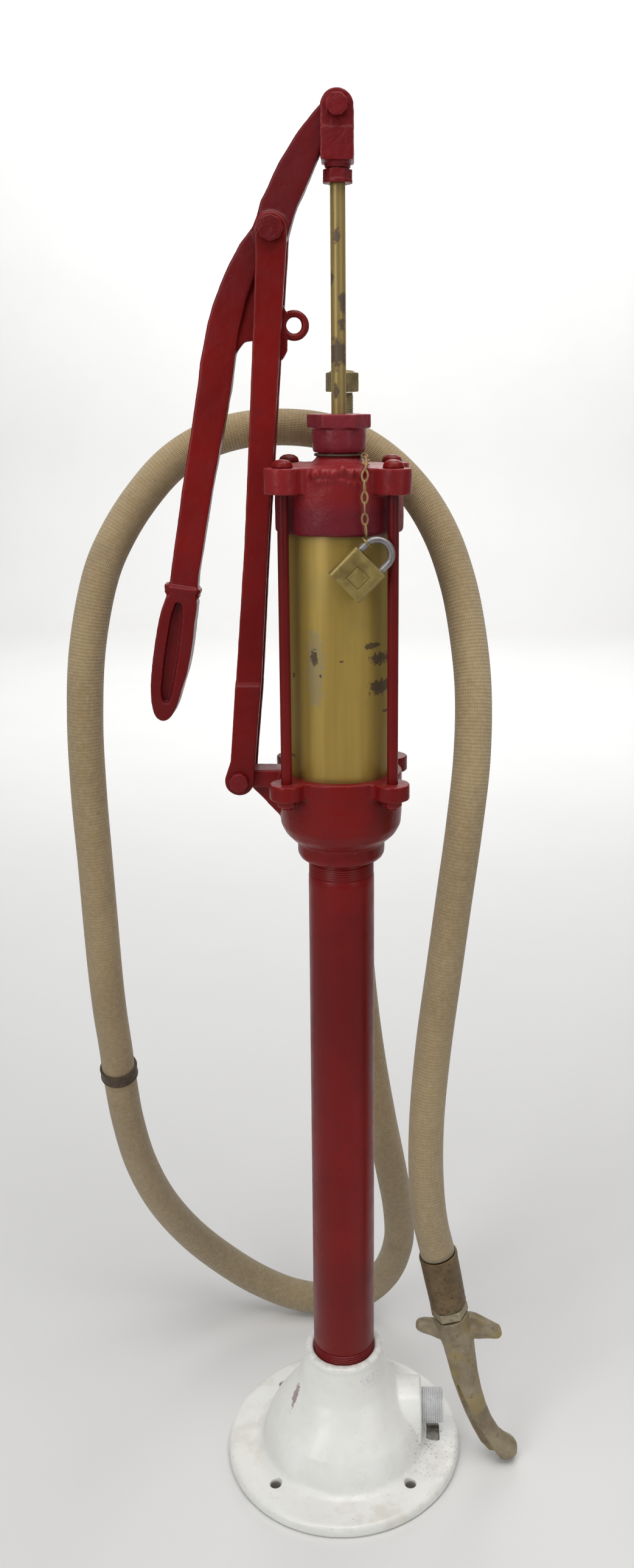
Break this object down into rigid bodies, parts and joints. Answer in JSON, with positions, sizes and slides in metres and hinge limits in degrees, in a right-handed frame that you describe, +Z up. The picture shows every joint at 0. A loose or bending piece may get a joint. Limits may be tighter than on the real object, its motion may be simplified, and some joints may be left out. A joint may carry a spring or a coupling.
{
  "type": "double action hand pump",
  "caption": "Hand pump on a pipe stand: bell base, brass cylinder between castings with tie rods, lever on a swinging link, hose with spout.",
  "frame": {"origin": "centre of the base's flat underside, on the floor and on the pump's vertical axis", "axes": "+Z up the column and the piston rod; +X towards the suction nipple; -X is the side of the lever and its link; +Y is the back, where the outlet is"},
  "size_m": [0.4331, 0.3313, 1.2875],
  "materials": {
    "red_paint": "gloss enamel over castings",
    "white_paint": "gloss enamel over a casting",
    "brass": "dull, stained",
    "aged_brass": "tarnished",
    "steel": "worn",
    "rusty_steel": "rusted",
    "galvanised": "threaded, zinc coated",
    "leather": "oiled",
    "canvas_hose": "woven canvas over rubber",
    "cast_grey": "grimy sand casting"
  },
  "bodies": {
    "root": {"base": "white_paint", "suction_nipple": "galvanised", "column_pipe": "red_paint", "lower_casting": "red_paint", "foot_valve_seat": "brass", "foot_valve_cage": "brass", "lower_gasket": "leather", "brass_cylinder": "brass", "upper_gasket": "leather", "head": "red_paint", "packing": "leather", "packing_follower": "brass", "gland_nut": "red_paint", "tie_rod_front_left": "red_paint", "tie_rod_front_right": "red_paint", "tie_rod_back_right": "red_paint", "tie_rod_back_left": "red_paint", "tie_nut_front_left": "red_paint", "tie_nut_front_right": "red_paint", "tie_nut_back_right": "red_paint", "tie_nut_back_left": "red_paint", "foot_bolt_middle": "steel", "outlet_nipple": "aged_brass", "outlet_tee": "aged_brass", "vent_stem": "aged_brass", "vent_cap": "aged_brass", "hose_coupling": "aged_brass", "hose": "canvas_hose", "hose_band": "rusty_steel", "nozzle_ferrule": "rusty_steel", "nozzle_nut": "aged_brass", "nozzle_body": "cast_grey", "chain_collar": "aged_brass", "padlock_chain": "rusty_steel", "padlock_body": "brass"},
    "rod": {"piston_rod": "brass", "rod_locknut": "red_paint", "clevis": "red_paint", "clevis_bolt": "red_paint", "clevis_bolt_nut": "red_paint", "piston_body": "brass", "piston_valve_stop": "brass", "piston_top_nut": "brass", "piston_bottom_nut": "brass", "cup_leather_upper": "leather", "cup_leather_lower": "leather"},
    "lever": {"lever": "red_paint", "lock_eye": "red_paint"},
    "link": {"link_strap_front": "red_paint", "link_strap_back": "red_paint", "fulcrum_bolt": "red_paint", "fulcrum_nut": "red_paint", "foot_bolt_head_end": "red_paint", "foot_bolt_nut_end": "red_paint"},
    "foot_valve": {"foot_valve_disc": "brass"},
    "piston_valve": {"piston_valve": "brass"},
    "shackle": {"padlock_shackle": "steel"}
  },
  "joints": [
    {"name": "piston_stroke", "type": "slide", "parent": "root", "child": "rod", "axis": [0, 0, -1], "range_m": [0, 0.175]},
    {"name": "lever_pivot", "type": "hinge", "parent": "rod", "child": "lever", "pos_m": [0, 0, 1.274], "axis": [0, 1, 0], "range_deg": [0, 108.96]},
    {"name": "fulcrum_pivot", "type": "hinge", "parent": "lever", "child": "link", "pos_m": [-0.0544, 0, 1.18], "axis": [0, 1, 0], "range_deg": [-111.02, 0]},
    {"name": "foot_valve_lift", "type": "slide", "parent": "root", "child": "foot_valve", "axis": [0, 0, 1], "range_m": [0, 0.005]},
    {"name": "piston_valve_lift", "type": "slide", "parent": "rod", "child": "piston_valve", "axis": [0, 0, 1], "range_m": [0, 0.004]},
    {"name": "shackle_slide", "type": "slide", "parent": "root", "child": "shackle", "axis": [0.7071, 0, 0.7071], "range_m": [0, 0.008]}
  ],
  "couplings": [
    {"joint": "lever_pivot", "follows": "piston_stroke", "rad_per_m": 10.866},
    {"joint": "fulcrum_pivot", "follows": "piston_stroke", "rad_per_m": -11.071}
  ]
}
